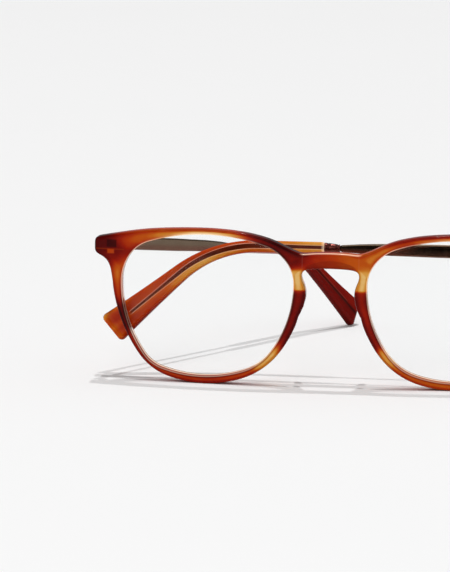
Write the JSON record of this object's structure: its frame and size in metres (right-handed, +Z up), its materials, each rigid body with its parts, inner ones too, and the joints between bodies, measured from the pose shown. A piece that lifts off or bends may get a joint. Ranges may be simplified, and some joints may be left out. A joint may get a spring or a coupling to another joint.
{
  "type": "prescription glasses",
  "caption": "Prescription glasses with a curved full-rim acetate front, keyhole bridge, clear lenses and folding metal temples with bent acetate tips.",
  "frame": {"origin": "middle of the base: half way between the front's foremost point and the open temple's tip, on the front's symmetry plane, at the height where the rims stand", "axes": "+X towards the wearer's left, +Y from the front back along the temples, +Z up; the front faces -Y"},
  "size_m": [0.1376, 0.1226, 0.0448],
  "materials": {
    "acetate": "polished translucent tortoise acetate",
    "lens": "clear, polished",
    "metal": "dark satin",
    "screw": "turned",
    "washer": "natural nylon",
    "wire": "seen through the acetate"
  },
  "bodies": {
    "front": {"frame_front": "acetate", "lens_left": "lens", "lens_right": "lens", "nose_pad_left": "acetate", "nose_pad_right": "acetate", "hinge_front_leaf_left": "metal", "hinge_front_leaf_right": "metal", "hinge_screw_left": "screw", "hinge_screw_right": "screw", "hinge_washers_left": "washer", "hinge_washers_right": "washer"},
    "temple_left": {"hinge_temple_leaf_left": "metal", "temple_bar_left": "metal", "ferrule_left": "metal", "core_wire_left": "wire", "temple_tip_left": "acetate"},
    "temple_right": {"hinge_temple_leaf_right": "metal", "temple_bar_right": "metal", "ferrule_right": "metal", "core_wire_right": "wire", "temple_tip_right": "acetate"}
  },
  "joints": [
    {"name": "hinge_left", "type": "hinge", "parent": "front", "child": "temple_left", "pos_m": [0.0655, -0.0481, 0.0388], "axis": [0, -0.1392, -0.9903], "range_deg": [0, 47]},
    {"name": "hinge_right", "type": "hinge", "parent": "front", "child": "temple_right", "pos_m": [-0.0655, -0.0481, 0.0388], "axis": [0, 0.1392, 0.9903], "range_deg": [-43, 33]}
  ]
}
